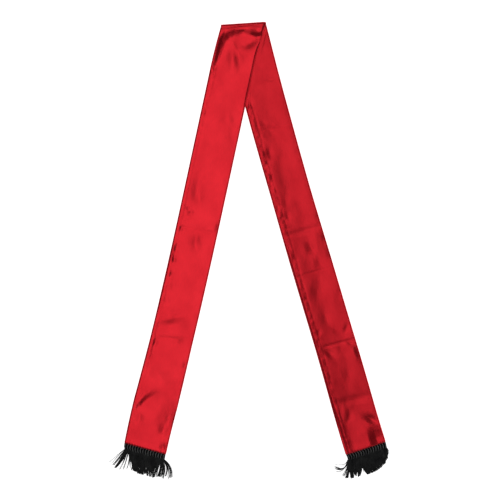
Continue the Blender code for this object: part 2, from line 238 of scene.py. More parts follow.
lowerLeg = {
    "length": 883.5,
    "sag": (0.9, 0.6),
    "seamRise": 0.15,
    "uneven": 0.7,
    "creased": 0.8,
    "start": (-9.1, 453.8),
    "hemLean": 18.4,
    "sections": [
        Section(0, 16.0, 83.2),
        Section(90, 14.4, 82.0),
        Section(200, 15.4, 82.4),
        Section(350, 16.1, 81.2),
        Section(500, 16.6, 83.1),
        Section(650, 16.6, 82.8),
        Section(780, 15.6, 84.2),
        Section(870, 17.2, 84.4),
    ],
    "rolls": [
        Roll(0, 2.4, 1.6),
        Roll(430, 2.6, 1.6),
        Roll(490, 4.6, 2.4),
        Roll(780, 5, 2),
        Roll(820, 4.5, 1.6),
        Roll(886, 4.5, 1.6),
    ],
    "seam": [
        Seam(0, 12, 0.15),
        Seam(212, 12.5, 0.2),
        Seam(260, 12, 0.1),
        Seam(440, 13, 0.08),
        Seam(625, 12, 0.12),
        Seam(700, 12, 0.06),
        Seam(886, 12, 0.06),
    ],
    "puckers": [
        Pucker(150, 215, 8, 0.4),
        Pucker(225, 425, 8, 0.5),
        Pucker(440, 520, 8, 0.45),
        Pucker(520, 640, 8, 0.45),
        Pucker(645, 775, 9, 0.45),
        Pucker(780, 880, 10, 0.3),
    ],
    "creases": [
        Crease(123, 61, 20, 2, 1.8, 0.6, 0, 0.3),
        Crease(166, 45, 30, 0, 5, 0.2),
        Crease(206, 25, 9, 60, 5, 0.6),
        Crease(212, 39, 9, 20, 4, 0.8),
        Crease(216, 45, 34, 1, 2, 0.65),
        Crease(229, 30, 16, 60, 9, 0.8),
        Crease(247, 11, 5, 15, 3, 0.7),
        Crease(264, 19, 12, 92, 5, 1.0),
        Crease(283, 15, 8, 20, 3, 0.7),
        Crease(325, 26, 50, 90, 9, 1.0),
        Crease(367, 22, 10, 88, 6, 0.6),
        Crease(394, 20, 9, 90, 4.5, 0.8),
        Crease(406, 14, 8, 20, 3, 0.6),
        Crease(410, 78, 9, 90, 4, 0.6),
        Crease(431, 45, 52, 0, 5, 1.0),
        Crease(467, 45, 15, 76, 6, 1.4, 0, 0.3),
        Crease(502, 52, 15, 90, 6, 0.9),
        Crease(480, 66, 45, 90, 12, 0.7),
        Crease(455, 79, 9, 90, 4, 0.7),
        Crease(488, 79, 14, 90, 4, 0.6),
        Crease(515, 42, 38, 0, 1.6, 0.5, 0, 0.4),
        Crease(552, 31, 28, 116, 8, 0.9, 0, 0.2),
        Crease(575, 70, 10, 110, 6, 0.4),
        Crease(612, 31, 18, 88, 8, 0.9),
        Crease(640, 46, 20, 50, 5, 0.5),
        Crease(633, 15, 7, 110, 3, 0.7),
        Crease(640, 69, 13, -51, 4, 0.8),
        Crease(666, 42, 52, 1, 2.8, 0.8),
        Crease(682, 22, 15, 56, 4.5, 1.2, 0, 0.3),
        Crease(678, 46, 6, 80, 4, 0.4),
        Crease(675, 69.5, 9, 40, 3, 1.0),
        Crease(693, 77, 15, 86, 4, 1.3),
        Crease(730, 43, 12, 80, 7, 0.6),
        Crease(783, 45, 52, 1, 9, 1.2),
        Crease(811, 26, 14, 112, 3.6, 0.8, 3, 0.3),
        Crease(834, 66, 16, 45, 5.5, 3.1, 0, 0.1),
    ],
    "walls": [
        [
            Wall(900, 60.5, 7.5, 3.0, 19.0),
            Wall(868, 60.5, 7.5, 3.0),
            Wall(856, 61, 7, 1.8),
            Wall(842, 62, 6, 0),
        ],
        [
            Wall(905, 33, 16, -2.6, 120.0),  # here it rises
            Wall(850, 33, 16, -2.4),
            Wall(800, 36, 14, 0),
        ],
        [
            Wall(425, 3, 2, 0),
            Wall(470, 3, 2.5, 0.8),
            Wall(760, 3, 2.5, 0.9),
            Wall(800, 4.5, 4, 1.6),
            Wall(850, 5, 4.8, 2.4),
            Wall(900, 5, 4.8, 2.6),
        ],
    ],
}


def smooth(value):
    value = np.clip(value, 0, 1)
    return value * value * (3 - 2 * value)


def risen(value, start, run):  # 0 up to the start, and 1 after the run
    return smooth((value - start) / run)


def readTable(rows, column, at):
    return np.interp(at, [row.along for row in rows], [getattr(row, column) for row in rows])


def centreLine(leg):  # places and directions of the leg's middle, every millimetre
    at = np.arange(-tube["lineRoom"], leg["length"] + tube["lineRoom"], 1.0)
    heading = np.radians(readTable(leg["sections"], "heading", at))
    between = (heading[1:] + heading[:-1]) / 2
    x = np.concatenate([[0], np.cumsum(np.sin(between))])
    y = np.concatenate([[0], -np.cumsum(np.cos(between))])
    first = np.searchsorted(at, 0)
    return at, x - x[first] + leg["start"][0], y - y[first] + leg["start"][1], heading


def foldLean():
    return math.atan2(fold["right"][1] - fold["left"][1], fold["right"][0] - fold["left"][0])


def trueAlong(leg, at, across):  # rows lean with the fold at one end and with the hem at the other
    sections = leg["sections"]
    foldSkew = math.tan(math.radians(sections[0].heading) - foldLean())
    hemSkew = math.tan(math.radians(sections[-1].heading - leg["hemLean"]))
    nearHem = (at - leg["length"] + tube["hem"] + fold["hemSkewRun"]) / fold["hemSkewRun"]
    skew = foldSkew * (1 - smooth(at / fold["skewRun"])) + hemSkew * smooth(nearHem)
    return at + skew * (across - 0.5) * readTable(sections, "width", at)


def onTable(leg, at, across):  # a point of the leg seen from above; across runs from 0 to 1
    if "line" not in leg:
        leg["line"] = centreLine(leg)
    along = trueAlong(leg, at, across)
    x, y, heading = (np.interp(along, leg["line"][0], row) for row in leg["line"][1:])
    side = (across - 0.5) * readTable(leg["sections"], "width", at)
    return np.stack([x + np.cos(heading) * side, y + np.sin(heading) * side], -1)


def foldLift(across):
    puffed = fold["puffed"] * smooth((fold["puffedTo"] - across) / fold["puffedOver"])
    return puffed + fold["open"] * risen(across, fold["openFrom"], fold["openOver"])


def foldAxis(across):
    inward = np.array([math.sin(foldLean()), -math.cos(foldLean())])
    left, right = np.array(fold["left"]), np.array(fold["right"])
    radius = (fold["bed"] + foldLift(across)) / 2 + tube["half"]
    return left + np.multiply.outer(across, right - left) + np.multiply.outer(radius, inward)


def plan(leg, at, across):  # as onTable, but drawn onto the fold's axis at the top
    at, across = np.broadcast_arrays(np.asarray(at, float), np.asarray(across, float))
    pull = 1 - risen(at, fold["axis"], fold["axisRun"])
    shift = foldAxis(across) - onTable(leg, np.full_like(at, fold["axis"]), across)
    return onTable(leg, at, across) + shift * pull[..., None]


def beyond(points, start, end):  # distance from a line, plus on its left
    line = (end - start) / np.linalg.norm(end - start)
    return line[0] * (points[..., 1] - start[1]) - line[1] * (points[..., 0] - start[0])


def bedHeight(points):
    edge = plan(lowerLeg, fold["crossing"], 0), plan(lowerLeg, fold["axis"], 0)
    return fold["bed"] * (1 - risen(beyond(points, *edge), fold["slopeFrom"], fold["slope"]))


creaseForm = {
    "oneSided": 3,  # a crease straight across is an even trough, and one that leans by 1 in 3 has one side
    "recover": 3.0,  # it rises again over so many of its widths
    "shortRecover": (1.2, 0.6),  # a short one over at least so many, and over this share of its reach
    "recoverFrom": 0.6,
    "ends": 0.85,
    "lipAt": 1.8,  # in widths too, and so is the next
    "lipWide": 1.1,
}


def creaseRise(creases, along, fromLeft):
    rise = np.zeros_like(along)
    least, shareOfReach = creaseForm["shortRecover"]
    for crease in creases:
        lean = math.radians(crease.lean)
        down, right = along - crease.along, fromLeft - crease.across
        run = (right * math.cos(lean) + down * math.sin(lean)) / crease.reach
        off = (down * math.cos(lean) - right * math.sin(lean) - crease.bow * run**2) / crease.width
        oneSided = min(creaseForm["oneSided"] * abs(math.sin(lean)), 1)
        fall = -off if math.sin(lean) > 0 else off
        recover = min(creaseForm["recover"], max(least, shareOfReach * crease.reach / crease.width))
        share = np.clip((fall + 1) / 2, 0, 1)
        past = np.maximum(fall - creaseForm["recoverFrom"], 0) / recover
        steep = (0.5 * share + 0.5 * smooth(share)) * np.exp(-(past**2))
        trough = oneSided * steep + (1 - oneSided) * np.exp(-(off**2))
        lip = crease.lip * np.exp(-(((fall + creaseForm["lipAt"]) / creaseForm["lipWide"]) ** 2))
        rise += crease.depth * np.exp(-((run / creaseForm["ends"]) ** 2)) * (lip - trough)
    return rise


wallForm = {
    "ridge": 0.2,  # the cloth before a wall stands this much higher, as a share of its fall
    "ridgeRun": 1.5,  # over so many of its widths
    "even": 0.6,  # this share of the fall is an even slope, and the rest begins and ends softly
}


def wallRise(walls, along, fromLeft):
    nearest = np.full(along.shape, np.inf)
    fall, past, deep = (np.zeros_like(along) for _ in range(3))
    for a, b in zip(walls, walls[1:]):
        down, right = along - a.along, fromLeft - a.across
        stepDown, stepRight = b.along - a.along, b.across - a.across
        share = np.clip((down * stepDown + right * stepRight) / (stepDown**2 + stepRight**2), 0, 1)
        away = np.hypot(down - share * stepDown, right - share * stepRight)
        off = np.sign(down * stepRight - right * stepDown) * away
        wide = a.width + (b.width - a.width) * share
        fall = np.where(away < nearest, off / wide, fall)
        past = np.where(away < nearest, off - wide, past)
        deep = np.where(away < nearest, a.fall + (b.fall - a.fall) * share, deep)
        nearest = np.minimum(away, nearest)
    share = np.clip((fall + 1) / 2, 0, 1)
    level = wallForm["ridge"] - wallForm["even"] * share - (1 - wallForm["even"]) * smooth(share)
    before, after = np.minimum(fall + 1, 0) / wallForm["ridgeRun"], np.maximum(past, 0) / walls[0].recover
    return deep * level * np.exp(-(before**2) - after**2)


def waves(along, across, long, wide, seed):  # soft noise over the cloth, between -1 and 1
    spots = zip((along / long).ravel(), (across / wide).ravel())
    values = [noise.noise(Vector((down, right, seed))) for down, right in spots]
    return np.array(values).reshape(along.shape)


sagForm = {
    "left": (3, 43),  # from where and over how much the cloth sinks from the left edge to the middle
    "right": (48, 30),  # and where and over how much it rises again
    "start": (110.0, 90.0),  # the left part begins here, over so much
    "end": (790.0, 50.0),
}


def sagRise(leg, along, fromLeft):  # the cloth stands higher beside its long edges than in the middle
    sagLeft, sagRight = leg["sag"]
    sagLeft = sagLeft * risen(along, *sagForm["start"]) * (1 - risen(along, *sagForm["end"]))
    return sagLeft * (1 - risen(fromLeft, *sagForm["left"])) + sagRight * risen(fromLeft, *sagForm["right"])


seamForm = {
    "stray": (0.8, 34),  # how far the line wanders to the sides, and the length of its waves
    "vary": (0.7, 11),  # the same for its depth
    "beside": 0.8,
    "wide": 2.6,
    "allowance": (2.5, 4),  # the lifted strip ends this far beside the line, over so much
}


def seamRise(leg, seed, along, across, fromLeft):
    (stray, strayLong), (vary, varyLong) = seamForm["stray"], seamForm["vary"]
    line, deep = (readTable(leg["seam"], column, along) for column in ("across", "deep"))
    line = line + stray * waves(along, across * 0, strayLong, 1, seed + 50)
    deep = deep * (1 + vary * waves(along, across * 0, varyLong, 1, seed + 60))
    allowance, run = seamForm["allowance"]
    lifted = leg["seamRise"] * smooth((line + allowance - fromLeft) / run)
    return lifted - deep * np.exp(-(((fromLeft - line - seamForm["beside"]) / seamForm["wide"]) ** 2))


puckerForm = {
    "ends": 12,
    "wide": 5,
    "high": 1.6,  # times its own height
    "waves": (8, 12),  # their length and width
}


def puckerRise(leg, seed, along, fromLeft):
    rise = np.zeros_like(along)
    wave = puckerForm["high"] * waves(along, fromLeft, *puckerForm["waves"], seed + 70)
    for pucker in leg["puckers"]:
        started = smooth((along - pucker.start) / puckerForm["ends"] + 0.5)
        going = smooth((pucker.end - along) / puckerForm["ends"] + 0.5)
        near = np.exp(-(((fromLeft - pucker.across) / puckerForm["wide"]) ** 2))
        rise += pucker.high * started * going * near * wave
    return rise


unevenness = {
    "broad": (0.5, 70, 30),  # height, length and width of the waves
    "soft": (0.22, 26, 16),
    "small": (0.05, 9, 7),
}


def relief(leg, seed, at, across, points):  # how far the upper layer rises over its plain height
    along = trueAlong(leg, at, across)
    width = readTable(leg["sections"], "width", at)
    fromLeft = across * width
    fromEdge = np.minimum(fromLeft, width - fromLeft)
    rise = tube["soft"] + sagRise(leg, along, fromLeft)
    for step, (high, long, wide) in enumerate(unevenness.values()):
        rise += leg["uneven"] * high * waves(along, fromLeft, long, wide, seed + step * 10)
    rise += seamRise(leg, seed, along, across, fromLeft) + puckerRise(leg, seed, along, fromLeft)
    fromLeft = fromLeft - width / 2 + tube["width"] / 2  # what follows keeps its place from the middle
    rise += leg["creased"] * creaseRise(leg["creases"], along, fromLeft)
    for walls in leg["walls"]:
        rise += wallRise(walls, along, fromLeft)
    if leg is lowerLeg:
        edge = plan(upperLeg, fold["crossing"], 1), plan(upperLeg, fold["axis"], 1)
        uncovered = risen(-beyond(points, *edge), fold["coverMargin"], fold["coverRun"])
        under, beside = fold["coverRoom"]
        rise = np.minimum(rise, under + beside * uncovered)
    else:
        rise *= risen(at, fold["axis"], fold["axisSoft"])
    sharp = tube["lowestSharp"]
    rise = np.logaddexp(sharp * rise, sharp * tube["lowest"]) / sharp
    return rise * smooth(fromEdge / tube["softRun"])


def tubeRing():  # round the tube: left edge, over the top, right edge, underneath
    steps = tube["edgeSteps"]
    arc = [math.pi / 2 * step / steps for step in range(steps)]
    ring = [(1 - math.cos(a), 0, 0, math.sin(a)) for a in arc]  # shares of left, middle, right; height
    even = np.linspace(0, 1, tube["topColumns"])
    ring += [(1, share, 0, 1) for share in even - tube["crowded"] * np.sin(math.tau * even)]
    ring += [(1, 1, math.sin(a), math.cos(a)) for a in arc[1:]]
    ring += [(1, 1, 1, 0)]
    ring += [(1, 1, math.cos(a), -math.sin(a)) for a in arc[1:]]
    ring += [(1, share, 0, -1) for share in np.linspace(1, 0, tube["underColumns"])]
    ring += [(1 - math.cos(a), 0, 0, -math.sin(a)) for a in reversed(arc[1:])]
    return np.array(ring).T


def ringAcross(leg, at):  # where the ring's points are across the leg (0 to 1), a row for each distance
    left, middle, right, high = tubeRing()
    width = readTable(leg["sections"], "width", at)
    rollLeft, rollRight = readTable(leg["rolls"], "left", at), readTable(leg["rolls"], "right", at)
    across = left * rollLeft + middle * (width - rollLeft - rollRight) + right * rollRight
    return across / width, np.broadcast_to(high, across.shape) * tube["half"]


def overRows(leg, seed, first):  # a leg as it lies, down to its hem, which is turned in
    length = leg["length"]
    count = math.ceil((length - first) / tube["rowStep"])
    at = np.linspace(first, length, count + 1)[:, None]
    turned = np.array(tube["turned"])[:, None]
    inward = np.concatenate([np.zeros_like(at), turned])
    at = np.concatenate([at, length - turned + tube["turnedLip"]])
    across, high = ringAcross(leg, at)
    drawn, stands, gatherRun = tube["gather"]
    wave = -np.cos(across * tube["gathers"] * math.tau)
    nearEnd = smooth((at - length + gatherRun) / gatherRun) ** 2
    at = at - drawn * (0.5 - 0.5 * wave) * nearEnd
    points = plan(leg, at, across)
    rise = relief(leg, seed, at, across, points) + stands * wave * nearEnd
    rise *= np.clip(high / tube["half"], 0, 1) ** 2
    rise += tube["hemRise"] * smooth((at - length + tube["hem"]) / tube["hemRun"]) * (high > 0)
    base = np.full_like(at, tube["half"])
    if leg is upperLeg:
        base += bedHeight(points) + foldLift(across) * (1 - risen(at, fold["axis"], fold["openRun"]))
    flatter, flatterRun, atOnce = tube["turnedFlat"]
    closer = np.clip(1 - flatter * smooth(inward / flatterRun) - atOnce * (inward > 0), 0, 1)
    narrower = 0.5 + (across - 0.5) * (1 - tube["turnedNarrow"] * smooth(inward))
    points = plan(leg, at, narrower)
    return np.concatenate([points, (base + (high + rise) * closer)[..., None]], -1)


def turnRows(leg):  # a short piece under the fold, then half a turn round the fold's axis
    at = fold["split"] - np.array(fold["tuck"])[:, None]
    across, high = ringAcross(leg, at * 0)
    under = np.concatenate([plan(lowerLeg, at, across), (tube["half"] - high)[..., None]], -1)
    angle = np.linspace(-math.pi / 2, math.pi / 2, fold["turnSteps"])[:, None]
    across, high = ringAcross(leg, angle * 0)
    radius = (fold["bed"] + foldLift(across)) / 2
    outward = np.array([-math.sin(foldLean()), math.cos(foldLean())])
    spot = foldAxis(across) + ((radius + high) * np.cos(angle))[..., None] * outward
    level = tube["half"] + radius + (radius + high) * np.sin(angle)
    return np.concatenate([under, np.concatenate([spot, level[..., None]], -1)])


def wrapGrid(name, rows):  # a grid with a row for each row of points, rolled up into a tube
    count, around = rows.shape[:2]
    girth = np.linalg.norm(np.roll(rows, -1, 1) - rows, axis=2).mean(0)
    girth = np.concatenate([[0], np.cumsum(girth)])
    length = np.linalg.norm(np.diff(rows, axis=0), axis=2).mean(1)
    length = np.concatenate([[0], np.cumsum(length)])
    bm = bmesh.new()
    uv = bm.loops.layers.uv.new("cloth")
    bmesh.ops.create_grid(bm, x_segments=around, y_segments=count - 1, size=1)
    for vert in bm.verts:
        step = round((vert.co.x + 1) / 2 * around)
        row = round((vert.co.y + 1) / 2 * (count - 1))
        for loop in vert.link_loops:
            loop[uv].uv = (girth[step] * mm, length[row] * mm)
        vert.co = Vector(rows[row, step % around]) * mm
    bmesh.ops.remove_doubles(bm, verts=bm.verts, dist=1e-7)
    bmesh.ops.recalc_face_normals(bm, faces=bm.faces)
    return finishMesh(bm, name)


def putInScene(name, data):
    made = bpy.data.objects.new(name, data)
    bpy.context.scene.collection.objects.link(made)
    return made


def finishMesh(bm, name):
    mesh = bpy.data.meshes.new(name)
    bm.to_mesh(mesh)
    bm.free()
    mesh.shade_smooth()
    return putInScene(name, mesh)


def thicken(piece):
    wall = piece.modifiers.new("cloth", "SOLIDIFY")
    wall.thickness = tube["cloth"] * mm
    wall.offset = -1
    wall.use_even_offset = False


def satinPieces():
    lower = wrapGrid("satin_lower_leg", overRows(lowerLeg, 3.0, fold["split"]))
    over = overRows(upperLeg, 8.0, fold["axis"] + fold["overFrom"])
    upper = wrapGrid("satin_upper_leg", np.concatenate([turnRows(upperLeg), over]))
    for piece in (lower, upper):
        thicken(piece)
    return lower, upper


def middleOf(points):  # of the box round them
    return Vector((min(values) + max(values)) / 2 for values in zip(*points))


def settleOnFrame(pieces, satin):  # all is laid out as measured, and moved to where the solids are
    corners = [corner for node in ("lower_leg", "upper_leg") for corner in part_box(node)]
    shift = middleOf(corners) - middleOf(v.co for piece in satin for v in piece.data.vertices)
    shift.z = 0
    for piece in pieces:
        piece.data.transform(Matrix.Translation(shift))
    return shift


def setStops(elements, stops):  # of a ramp, which starts with one at each end
    for place, colour in stops[1:-1]:
        elements.new(place)
    for element, (place, colour) in zip(elements, stops):
        element.color = colour


class Wire:  # a socket of a material, so that its sums are written as plain Python
    def __init__(self, paint, socket):
        self.paint, self.socket = paint, socket

    def math(self, kind, *values):
        return self.paint.node("ShaderNodeMath", {"operation": kind}, dict(enumerate(values)))

    def __add__(self, other):
        return self.math("ADD", self, other)

    def __sub__(self, other):
        return self.math("SUBTRACT", self, other)

    def __rsub__(self, other):
        return self.math("SUBTRACT", other, self)

    def __mul__(self, other):
        return self.math("MULTIPLY", self, other)

    __radd__, __rmul__ = __add__, __mul__


class Paint:  # a material, or the room, and the one way in which its nodes are made
    def __init__(self, name, kind="materials", shader="Principled BSDF"):
        self.data = getattr(bpy.data, kind).new(name)
        self.data.use_nodes = True
        self.tree = self.data.node_tree
        self.shader = self.tree.nodes[shader]

    def node(self, kind, settings, inputs, output=0):
        made = self.tree.nodes.new(kind)
        for name, value in settings.items():
            if name == "stops":
                setStops(made.color_ramp.elements, value)
            else:
                setattr(made, name, value)
        for name, value in inputs.items():
            self.plug(made.inputs[name], value)
        return Wire(self, made.outputs[output])

    def plug(self, socket, value):
        if isinstance(value, Wire):
            self.tree.links.new(value.socket, socket)
        else:
            socket.default_value = value

    def mix(self, share, first, second):
        colours = {6: (*first, 1), 7: (*second, 1)}
        return self.node("ShaderNodeMix", {"data_type": "RGBA"}, {0: share, **colours}, 2)

    def place(self, kind="Object"):
        return self.node("ShaderNodeTexCoord", {}, {}, kind)

    def split(self, place):
        parts = self.node("ShaderNodeSeparateXYZ", {}, {0: place}).socket.node
        return [Wire(self, socket) for socket in parts.outputs]

    def noise(self, place, scale, detail=2.0):
        return self.node("ShaderNodeTexNoise", {}, {"Vector": place, "Scale": scale, "Detail": detail})

    def set(self, **values):
        for name, value in values.items():
            self.plug(self.shader.inputs[name.replace("_", " ")], value)


satinLook = {
    "red": (0.82, 0.0235, 0.036),
    "deepRed": (0.64, 0.015, 0.025),
    "metallic": 0.9,
    "specular": 0.2,
    "upperRoughness": 0.3,
    "lowerRoughness": 0.36,  # seen across its weave, it shines less
    "slubRoughness": 0.06,
    "threadPitch": 0.00045,
    "pickPitch": 0.0009,
    "patchScale": 26.0,
    "slubScale": (900, 90, 1),
    "creepScale": 260.0,
    "patchShare": 0.6,  # of the tone, the rest is slubs
    "contrast": 2.4,
    "tone": -0.7,
    "relief": (0.08, 0.05, 0.6, 0.3),  # heights of the threads, the picks, the creep and the slubs
    "bump": (0.35, 0.00015),  # strength and distance
}


def satinPaint(part):
    look = satinLook
    paint = Paint("satin_" + part)
    cloth = paint.node("ShaderNodeUVMap", {"uv_map": "cloth"}, {})
    across, along, _ = paint.split(cloth)
    place = paint.place()
    threads = across.math("SINE", across * (math.tau / look["threadPitch"]))
    picks = along.math("SINE", along * (math.tau / look["pickPitch"]))
    patches = paint.noise(place, look["patchScale"], 3.0)
    drawnOut = paint.node("ShaderNodeMapping", {}, {"Vector": cloth, "Scale": look["slubScale"]})
    slubs = paint.noise(drawnOut, 1.0)
    mixed = patches * look["patchShare"] + slubs * (1 - look["patchShare"])
    tone = mixed * look["contrast"] + look["tone"]
    paint.set(
        Base_Color=paint.mix(tone, look["deepRed"], look["red"]),
        Metallic=look["metallic"],
        Roughness=look[part + "Roughness"] + look["slubRoughness"] * (slubs - 0.5),
        Specular_IOR_Level=look["specular"],
    )
    creep = paint.noise(place, look["creepScale"])
    threadHigh, pickHigh, creepHigh, slubHigh = look["relief"]
    height = threads * threadHigh + picks * pickHigh + creep * creepHigh + slubs * slubHigh
    strength, distance = look["bump"]
    bump = paint.node("ShaderNodeBump", {}, {"Strength": strength, "Distance": distance, "Height": height})
    paint.set(Normal=bump)
    return paint.data


# A fringe: its threads fall into locks. Distances are along the hem from its left end, and below it.
# A lock has threads from start to end along the heading; they pass mid and end at tip, so wide there.
# The right side of its tips hangs lower than the left one by its lean.
lockColumns = "start end midAlong midDrop midWide tipAlong tipDrop tipWide thick threads tufts lean"
Lock = namedtuple("Lock", lockColumns, defaults=(0,))
Side = namedtuple("Side", "along left right")  # the heading's two ends, from its top down

fringeSizes = {
    "cords": 16,
    "heading": 12.5,
    "tape": 7.0,  # of the heading's tape, inside the hem
    "band": (1.2, 0.7),  # height of the band's middle, and its thickness
    "bandColumns": 4,  # for each cord
    "bandRows": 14,
    "bulge": 0.25,  # of the band under each cord
    "hemLine": 0.5,
    "tapeRise": 0.35,  # the tape lies this much higher
}

leftFringe = {
    "name": "left",
    "leg": upperLeg,
    "bend": 1,  # the cords of the heading curve this way
    "sides": [
        Side(-7, 3, 83),
        Side(-0.5, 0.4, 86),
        Side(0.5, 0.4, 86),
        Side(7, 1.3, 86.4),
        Side(10, 3, 86.6),
        Side(14, 4.7, 87),
    ],
    "locks": [
        Lock(4.5, 5, -7, 27, 1, -18, 43.8, 1.5, 0.3, 3, 1),
        Lock(4.5, 6, -4, 27, 1, -14, 45.5, 2, 0.3, 3, 1),
        Lock(4.5, 8, -0.5, 28, 3, -9.3, 48, 4, 0.4, 12, 3, 1),
        Lock(5, 13, 4.2, 31, 7, -3.5, 50.5, 5, 0.44, 40, 2, 2),
        Lock(8, 11, 9, 34, 2, 4.4, 52.5, 2, 0.35, 5, 2),
        Lock(11, 14, 13, 33, 2, 11.5, 51, 3, 0.34, 5, 2),
        Lock(12, 19, 18, 22, 5, 22.5, 32, 4, 0.4, 18, 2),
        Lock(14, 17, 18.5, 33, 2, 18.5, 49, 3, 0.34, 5, 2),
        Lock(15, 18, 20, 30, 2, 26, 46.5, 3, 0.34, 6, 2),
        Lock(20, 24, 26, 31, 2, 29, 48.5, 2, 0.38, 8, 1),
        Lock(17, 32, 29, 30, 13, 38, 48.5, 12, 0.42, 84, 1, 1.5),
        Lock(30, 46, 41, 31, 14, 48, 50.8, 12.5, 0.42, 92, 1),
        Lock(43, 56, 52, 31, 11, 56.5, 47, 5.5, 0.42, 62, 1, -3),
        Lock(52, 64, 59.5, 31, 10, 64.2, 49.8, 7, 0.42, 64, 2, 1.5),
        Lock(60, 72, 68, 30, 9, 71, 51, 8.5, 0.42, 66, 2),
        Lock(68, 79, 76, 28, 7, 77, 48, 5.5, 0.42, 38, 3, -2),
        Lock(73, 81, 83.6, 28, 4.5, 83.5, 47, 6.5, 0.4, 26, 4),
        Lock(75, 82, 87.8, 28, 3, 88.5, 45, 4, 0.4, 16, 2),
        Lock(77, 84, 90.5, 28, 3, 93, 46, 7, 0.35, 12, 5),
        Lock(78, 86, 94.5, 22.5, 3, 97.5, 41, 4, 0.4, 15, 2),
        Lock(81, 87, 101, 22.5, 4.5, 108.5, 40, 5, 0.42, 18, 3, -2),
        Lock(80, 86, 98, 25, 3, 103, 45, 6, 0.36, 8, 3),
        Lock(76, 84, 91, 29, 5, 89, 46, 9, 0.32, 9, 5),
        Lock(82, 86, 101.5, 26, 2, 106, 43.5, 4, 0.34, 5, 2),
    ],
}
rightFringe = {
    "name": "right",
    "leg": lowerLeg,
    "bend": -1,
    "sides": [
        Side(-7, 3, 81),
        Side(-0.5, 0.6, 83.6),
        Side(0.5, 0.8, 84),
        Side(7, 1.4, 83.4),
        Side(10, 0.8, 83),
        Side(14, -2, 82.4),
    ],
    "locks": [
        Lock(0, 1, -11, 16.3, 0.5, -27, 9.5, 0.5, 0.25, 2, 1),
        Lock(0, 0.5, -14, 19.5, 0.5, -31, 14, 0.5, 0.25, 1, 1),
        Lock(-0.5, 5, -12, 23.5, 3, -27, 17, 4.5, 0.46, 26, 3),
        Lock(1, 2, -14, 26, 0.5, -29, 24, 1, 0.3, 3, 1),
        Lock(2, 7, -7.5, 27.5, 4, -18.5, 37, 4, 0.38, 14, 2, 2),
        Lock(2, 10, -3.6, 28, 7, -12, 43.5, 4.5, 0.4, 40, 1, 1),
        Lock(5, 18, 3.5, 29, 11.5, -1.2, 47, 5.5, 0.42, 74, 1),
        Lock(12, 25, 11, 29, 11, 6.3, 44.5, 4, 0.42, 54, 2),
        Lock(19, 33, 19, 31, 10.5, 12.8, 47.5, 5, 0.42, 70, 1, -1),
        Lock(29, 44, 29.8, 30, 12.5, 33, 49.5, 9, 0.42, 78, 1, -0.5),
        Lock(38, 54, 42, 32, 14, 43.5, 48.8, 14, 0.42, 88, 1, -1.5),
        Lock(50, 64, 54.5, 31, 14, 55, 46.5, 13.5, 0.42, 88, 1, -3.5),
        Lock(60, 74, 65.5, 29, 13, 64.5, 42, 13, 0.42, 80, 1, -6),
        Lock(70, 81, 74.8, 25, 9, 72.5, 35.5, 10, 0.42, 60, 1, -8),
        Lock(77, 82.6, 80.5, 20, 4.5, 78.3, 27.5, 6, 0.42, 36, 1, -7),
        Lock(79.5, 82.6, 82.3, 15, 1.5, 81, 19, 3, 0.4, 16, 1, -5),
        Lock(29, 31, 24, 31, 1, 18.5, 44, 1.5, 0.3, 3, 1),
        Lock(30, 32, 26, 31, 1, 23.5, 46, 1.5, 0.3, 3, 1),
        Lock(81, 82, 82, 20, 1, 79, 31, 1, 0.28, 2, 1),
        Lock(81, 82, 84, 17, 0.5, 83, 26, 0.5, 0.25, 2, 1),
    ],
}


def hemPlace(leg):  # a function from distances along and below the hem, and a height, to a point
    corner, end = plan(leg, leg["length"], np.array([0.0, 1.0]))
    right = (end - corner) / np.linalg.norm(end - corner)
    down = np.array([right[1], -right[0]])

    def place(along, drop, high):
        flat = corner + np.multiply.outer(along, right) + np.multiply.outer(drop, down)
        return np.concatenate([flat, np.broadcast_to(high, np.shape(along))[..., None]], -1)

    return place


def sideAt(spec, drop, share):  # a place along the heading, from its left end (0) to its right one (1)
    left, right = (readTable(spec["sides"], column, drop) for column in ("left", "right"))
    return left + (right - left) * share


def headingBand(spec, place):  # the flat band that holds the cords, with its tape inside the hem
    bm = bmesh.new()
    across, down = fringeSizes["cords"] * fringeSizes["bandColumns"], fringeSizes["bandRows"]
    bmesh.ops.create_grid(bm, x_segments=across, y_segments=down, size=1)
    middle, thick = fringeSizes["band"]
    hemLine, tapeRise, bulge = (fringeSizes[name] for name in ("hemLine", "tapeRise", "bulge"))
    for vert in bm.verts:
        share = (vert.co.x + 1) / 2
        drop = -fringeSizes["tape"] + (vert.co.y + 1) / 2 * (fringeSizes["heading"] + fringeSizes["tape"])
        wave = math.cos(share * fringeSizes["cords"] * math.tau + math.pi)
        high = middle + tapeRise * (drop < hemLine) + bulge * wave * (drop > hemLine)
        vert.co = Vector(place(sideAt(spec, drop, share), drop, high)) * mm
    bmesh.ops.recalc_face_normals(bm, faces=bm.faces)
    if sum(face.normal.z for face in bm.faces) < 0:
        bmesh.ops.reverse_faces(bm, faces=bm.faces)
    bmesh.ops.solidify(bm, geom=bm.faces, thickness=thick * mm)
    return finishMesh(bm, "band_" + spec["name"])


def threadMesh(name, lines):  # round threads along lines of points, as one mesh
    curve = bpy.data.curves.new(name, "CURVE")
    curve.dimensions = "3D"
    curve.bevel_depth = mm
    curve.bevel_resolution = 1
    curve.use_fill_caps = True
    for points, radii in lines:
        spline = curve.splines.new("POLY")
        spline.points.add(len(points) - 1)
        spline.points.foreach_set("co", np.c_[points * mm, np.ones(len(points))].ravel())
        spline.points.foreach_set("radius", radii)
    holder = putInScene(name, curve)
    shaped = holder.evaluated_get(bpy.context.evaluated_depsgraph_get())
    mesh = bpy.data.meshes.new_from_object(shaped)
    bpy.data.objects.remove(holder)
    mesh.shade_smooth()
    mesh.name = name
    return putInScene(name, mesh)


